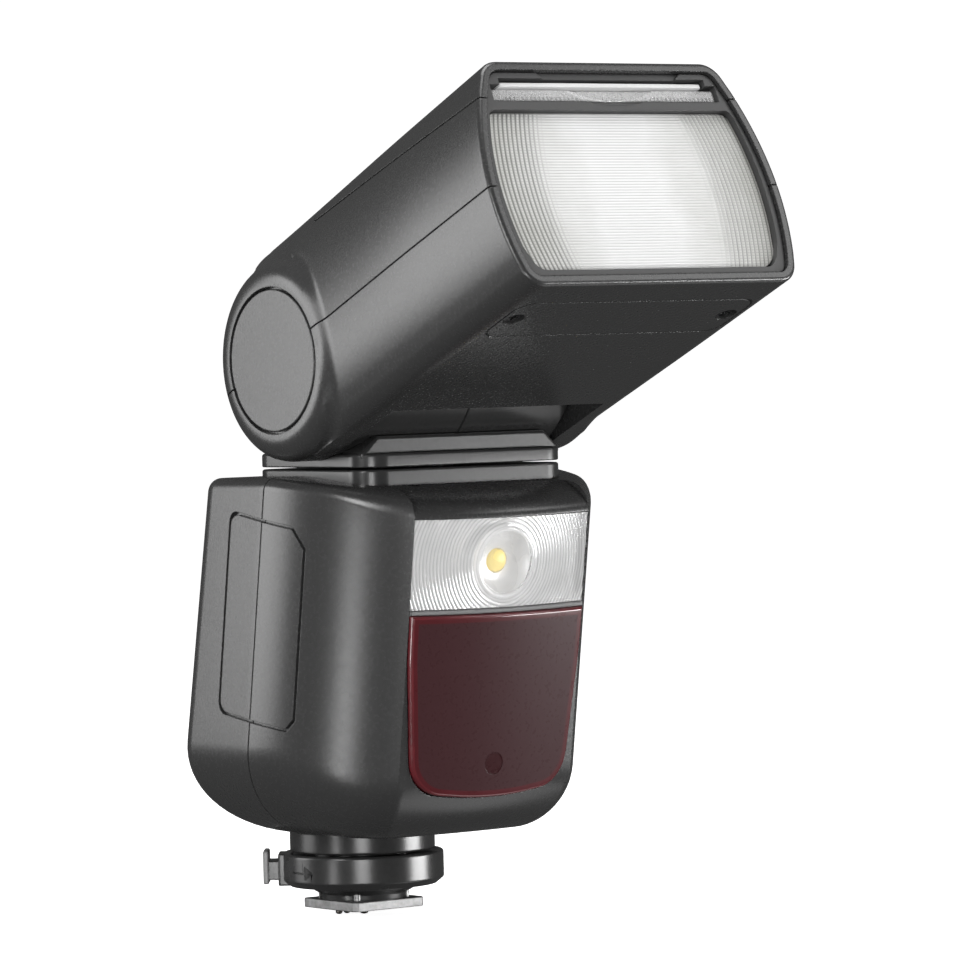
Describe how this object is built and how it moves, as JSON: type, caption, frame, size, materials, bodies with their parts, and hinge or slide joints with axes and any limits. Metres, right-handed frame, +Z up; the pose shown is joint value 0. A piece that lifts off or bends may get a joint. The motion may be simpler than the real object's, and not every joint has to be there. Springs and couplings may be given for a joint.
{
  "type": "speedlight flash",
  "caption": "Shoe-mount speedlight flash with a swivelling, tilting zoom head, pull-out diffuser and bounce card, LED modelling lamp, side battery and locking foot.",
  "frame": {"origin": "centre of the shoe foot's underside", "axes": "+Z up, square to the foot; the lamp window and the lens face -Y; +X is to the right seen along +Y, where the battery comes out"},
  "size_m": [0.075, 0.1243, 0.1774],
  "materials": {
    "shell_plastic": "fine pebble grain, matt",
    "satin_plastic": "satin black moulding",
    "inner_plastic": "plain black moulding",
    "key_plastic": "soft dark grey keys",
    "red_key": "translucent red button",
    "clear_plastic": "clear ribbed acrylic",
    "mirror_metal": "bright plated bowl",
    "lamp_board": "white board with a yellow phosphor chip",
    "grey_trim": "mid grey moulding",
    "red_window": "dark red translucent acrylic",
    "circuit_board": "green laminate",
    "capacitor_sleeve": "dark blue sleeve",
    "gold_contact": "gold plated leaf contacts",
    "display_glass": "dark display window",
    "display_grey": "grey display glass",
    "foot_metal": "milled, slightly rough",
    "port_metal": "plated sheet",
    "contact_metal": "dark plated contacts",
    "cover_rubber": "soft black rubber",
    "shaft_metal": "turned",
    "black_screw": "black oxide",
    "tube_glass": "clear quartz tube",
    "white_card": "white card"
  },
  "bodies": {
    "case": {"front_shell": "shell_plastic", "rear_shell": "shell_plastic", "top_plinth": "satin_plastic", "led_window": "clear_plastic", "led_reflector": "mirror_metal", "led_board": "lamp_board", "window_divider": "grey_trim", "sensor_panel": "red_window", "af_lamp": "red_window", "main_board": "circuit_board", "flash_capacitor": "capacitor_sleeve", "battery_tray": "inner_plastic", "battery_contacts": "gold_contact", "lcd_window": "display_glass", "lcd_module": "display_grey", "control_panel": "satin_plastic", "foot_neck": "satin_plastic", "foot_block": "satin_plastic", "foot_plate": "foot_metal", "foot_screws": "foot_metal", "sync_jack": "port_metal", "usb_port": "port_metal"},
    "lock_ring": {"lock_ring": "satin_plastic", "lock_lever": "grey_trim"},
    "lock_pin": {"lock_pin": "foot_metal"},
    "sync_pin": {"sync_pin": "contact_metal"},
    "data_pins": {"data_pins": "contact_metal"},
    "battery": {"battery_pack": "inner_plastic"},
    "battery_latch": {"battery_latch": "key_plastic"},
    "port_cover": {"port_cover": "cover_rubber"},
    "select_dial": {"select_dial": "key_plastic"},
    "set_button": {"set_button": "key_plastic"},
    "power_switch": {"power_switch": "key_plastic"},
    "test_button": {"test_button": "red_key"},
    "mode_button": {"mode_button": "key_plastic"},
    "function_button_1": {"function_button_1": "key_plastic"},
    "function_button_2": {"function_button_2": "key_plastic"},
    "function_button_3": {"function_button_3": "key_plastic"},
    "function_button_4": {"function_button_4": "key_plastic"},
    "yoke": {"yoke_base": "satin_plastic", "left_drum": "satin_plastic", "right_drum": "satin_plastic", "swivel_sleeve": "shaft_metal", "swivel_nut": "shaft_metal", "tilt_axle": "shaft_metal"},
    "head": {"head_lower_shell": "shell_plastic", "head_upper_shell": "shell_plastic", "head_top_cover": "shell_plastic", "lens_frame": "satin_plastic", "fresnel_lens": "clear_plastic", "pivot_caps": "satin_plastic", "head_screws": "black_screw", "zoom_motor": "port_metal", "guide_rods": "shaft_metal"},
    "lead_screw": {"lead_screw": "shaft_metal"},
    "zoom_carriage": {"zoom_carriage": "inner_plastic", "reflector": "mirror_metal", "flash_tube": "tube_glass"},
    "wide_panel": {"wide_panel": "clear_plastic"},
    "bounce_card": {"bounce_card": "white_card"}
  },
  "joints": [
    {"name": "head_swivel", "type": "hinge", "parent": "case", "child": "yoke", "pos_m": [0, -0.0205, 0.0943], "axis": [0, 0, 1], "range_deg": [-150, 180]},
    {"name": "head_tilt", "type": "hinge", "parent": "yoke", "child": "head", "pos_m": [0, -0.0236, 0.1172], "axis": [-1, 0, 0], "range_deg": [-23.8, 96.2]},
    {"name": "zoom_travel", "type": "slide", "parent": "head", "child": "zoom_carriage", "axis": [0, -0.915, 0.4035], "range_m": [0, 0.023]},
    {"name": "lead_screw_turn", "type": "hinge", "parent": "head", "child": "lead_screw", "pos_m": [0.03, -0.05778, 0.13883], "axis": [0, -0.915, 0.4035], "range_deg": [-5, 1390]},
    {"name": "wide_panel_pull", "type": "slide", "parent": "head", "child": "wide_panel", "axis": [0, -0.915, 0.4035], "range_m": [0, 0.056]},
    {"name": "bounce_card_pull", "type": "slide", "parent": "head", "child": "bounce_card", "axis": [0, -0.915, 0.4035], "range_m": [0, 0.056]},
    {"name": "lock_ring_turn", "type": "hinge", "parent": "case", "child": "lock_ring", "pos_m": [0, 0, 0.008], "axis": [0, 0, 1], "range_deg": [-1, 61]},
    {"name": "lock_pin_drop", "type": "slide", "parent": "case", "child": "lock_pin", "axis": [0, 0, -1], "range_m": [0, 0.0015]},
    {"name": "sync_pin_press", "type": "slide", "parent": "case", "child": "sync_pin", "axis": [0, 0, 1], "range_m": [0, 0.0011], "stiffness_N_per_m": 200, "springref_m": -0.001},
    {"name": "data_pins_press", "type": "slide", "parent": "case", "child": "data_pins", "axis": [0, 0, 1], "range_m": [0, 0.0009], "stiffness_N_per_m": 300, "springref_m": -0.001},
    {"name": "battery_slide", "type": "slide", "parent": "case", "child": "battery", "axis": [1, 0, 0], "range_m": [0, 0.062]},
    {"name": "battery_latch_slide", "type": "slide", "parent": "battery", "child": "battery_latch", "axis": [0, 0.1478, -0.989], "range_m": [0, 0.0022], "stiffness_N_per_m": 200, "springref_m": -0.001},
    {"name": "port_cover_swing", "type": "hinge", "parent": "case", "child": "port_cover", "pos_m": [0.0375, 0.00285, 0.06413], "axis": [0, -0.1478, 0.989], "range_deg": [0, 100]},
    {"name": "select_dial_turn", "type": "hinge", "parent": "case", "child": "select_dial", "pos_m": [0.0085, 0.01162, 0.05069], "axis": [0, 0.9823, 0.1874], "continuous": true},
    {"name": "set_button_press", "type": "slide", "parent": "case", "child": "set_button", "axis": [0, -0.9823, -0.1874], "range_m": [0, 0.0008], "stiffness_N_per_m": 600, "springref_m": -0.0005},
    {"name": "power_switch_slide", "type": "slide", "parent": "case", "child": "power_switch", "axis": [0, -0.1874, 0.9823], "range_m": [0, 0.004]},
    {"name": "test_button_press", "type": "slide", "parent": "case", "child": "test_button", "axis": [0, -0.9823, -0.1874], "range_m": [0, 0.0008], "stiffness_N_per_m": 600, "springref_m": -0.0005},
    {"name": "mode_button_press", "type": "slide", "parent": "case", "child": "mode_button", "axis": [0, -0.9823, -0.1874], "range_m": [0, 0.0008], "stiffness_N_per_m": 600, "springref_m": -0.0005},
    {"name": "function_button_1_press", "type": "slide", "parent": "case", "child": "function_button_1", "axis": [0, -0.9823, -0.1874], "range_m": [0, 0.0008], "stiffness_N_per_m": 600, "springref_m": -0.0005},
    {"name": "function_button_2_press", "type": "slide", "parent": "case", "child": "function_button_2", "axis": [0, -0.9823, -0.1874], "range_m": [0, 0.0008], "stiffness_N_per_m": 600, "springref_m": -0.0005},
    {"name": "function_button_3_press", "type": "slide", "parent": "case", "child": "function_button_3", "axis": [0, -0.9823, -0.1874], "range_m": [0, 0.0008], "stiffness_N_per_m": 600, "springref_m": -0.0005},
    {"name": "function_button_4_press", "type": "slide", "parent": "case", "child": "function_button_4", "axis": [0, -0.9823, -0.1874], "range_m": [0, 0.0008], "stiffness_N_per_m": 600, "springref_m": -0.0005}
  ],
  "couplings": [
    {"joint": "lead_screw_turn", "follows": "zoom_travel", "rad_per_m": 1047.2},
    {"joint": "lock_ring_turn", "follows": "lock_pin_drop", "rad_per_m": 698.13}
  ]
}
